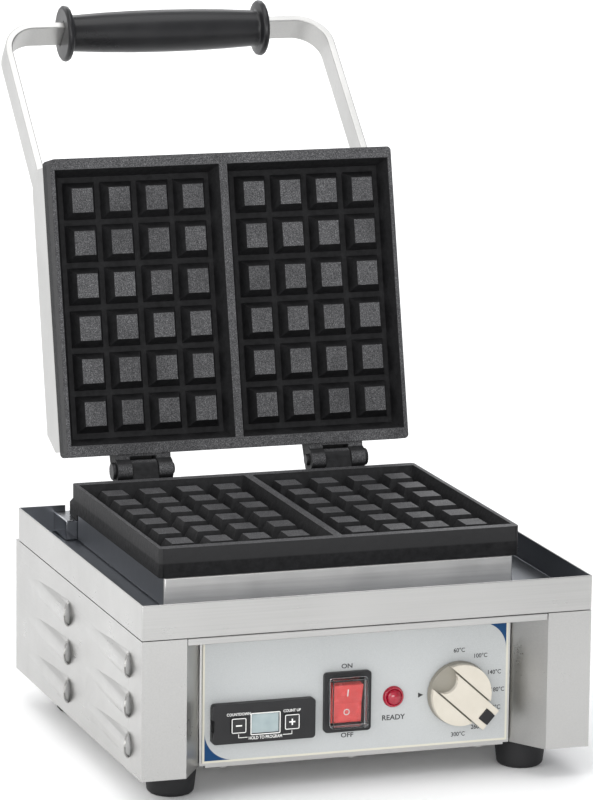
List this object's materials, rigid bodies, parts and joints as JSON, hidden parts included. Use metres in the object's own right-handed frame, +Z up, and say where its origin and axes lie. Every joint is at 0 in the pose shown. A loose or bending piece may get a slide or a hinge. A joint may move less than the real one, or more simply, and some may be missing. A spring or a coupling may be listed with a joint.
{
  "type": "waffle iron",
  "caption": "Countertop electric waffle iron with two cast grid plates, hinged lid shown open, U-shaped handle with grip, drip tray and front controls.",
  "frame": {"origin": "on the table plane, under the middle of the whole iron's outline with the lid open as stored", "axes": "+Z up, -Y towards the user in front of the controls, +X to the right of that user; the lid hinge lies along X"},
  "size_m": [0.3142, 0.4796, 0.4587],
  "materials": {
    "stainless": "satin stainless sheet, soft warm grey",
    "cast_iron": "as-cast black iron, rough, peg tops and rims rubbed greyer",
    "steel": "plain steel",
    "mineral_wool": "compressed mineral wool slab",
    "rubber": "black moulded rubber",
    "cream_plastic": "cream moulded plastic",
    "black_plastic": "black moulded plastic",
    "red_lens": "crimson translucent lens",
    "red_plastic": "red translucent rocker",
    "clear_plastic": "clear soft plastic",
    "overlay_film": "printed light grey polyester film, blue corners",
    "display_glass": "grey-green liquid crystal display",
    "circuit_board": "green circuit board",
    "copper": "copper bulb"
  },
  "bodies": {
    "housing": {"base_plate": "stainless", "cable_gland": "black_plastic", "control_overlay": "overlay_film", "control_panel": "stainless", "drip_tray": "stainless", "foot_front_left": "rubber", "foot_front_right": "rubber", "foot_rear_left": "rubber", "foot_rear_right": "rubber", "foot_screw_front_left": "steel", "foot_screw_front_right": "steel", "foot_screw_rear_left": "steel", "foot_screw_rear_right": "steel", "front_rail": "stainless", "heat_pan": "stainless", "lamp_body": "black_plastic", "lamp_lens": "red_lens", "lower_element_clamp": "steel", "lower_grid_plate": "cast_iron", "lower_heating_element": "steel", "lower_insulation": "mineral_wool", "panel_screw_left": "steel", "panel_screw_middle": "steel", "panel_screw_right": "steel", "plate_box": "stainless", "rear_deck": "stainless", "rear_panel": "stainless", "side_panel_left": "stainless", "side_panel_right": "stainless", "switch_body": "black_plastic", "switch_splash_cover": "clear_plastic", "terminal_block": "clear_plastic", "thermostat_body": "steel", "thermostat_bulb": "copper", "timer_board": "circuit_board", "timer_case": "black_plastic", "timer_display": "display_glass"},
    "lid": {"upper_grid_plate": "cast_iron", "lid_cover": "stainless", "upper_heating_element": "steel", "upper_element_clamp": "steel", "upper_insulation": "mineral_wool", "handle_bar": "stainless", "handle_grip": "black_plastic", "handle_bracket_left": "steel", "handle_bracket_right": "steel", "handle_bolt_left_rear": "steel", "handle_bolt_left_front": "steel", "handle_bolt_right_rear": "steel", "handle_bolt_right_front": "steel", "hinge_pin_left": "steel", "hinge_pin_right": "steel"},
    "knob": {"thermostat_knob": "cream_plastic", "knob_pointer_inlay": "black_plastic", "thermostat_spindle": "steel"},
    "rocker": {"switch_rocker": "red_plastic"},
    "minus_key": {"timer_key_minus": "black_plastic"},
    "plus_key": {"timer_key_plus": "black_plastic"}
  },
  "joints": [
    {"name": "lid_hinge", "type": "hinge", "parent": "housing", "child": "lid", "pos_m": [0, 0.03258, 0.1608], "axis": [1, 0, 0], "range_deg": [0, 103.2]},
    {"name": "knob_turn", "type": "hinge", "parent": "housing", "child": "knob", "pos_m": [0.0696, -0.21562, 0.0564], "axis": [0, -1, 0], "range_deg": [-48, 222]},
    {"name": "rocker_tilt", "type": "hinge", "parent": "housing", "child": "rocker", "pos_m": [-0.007, -0.20762, 0.0564], "axis": [-1, 0, 0], "range_deg": [0, 18]},
    {"name": "timer_minus_press", "type": "slide", "parent": "housing", "child": "minus_key", "axis": [0, 1, 0], "range_m": [0, 0.0008], "stiffness_N_per_m": 600},
    {"name": "timer_plus_press", "type": "slide", "parent": "housing", "child": "plus_key", "axis": [0, 1, 0], "range_m": [0, 0.0008], "stiffness_N_per_m": 600}
  ]
}
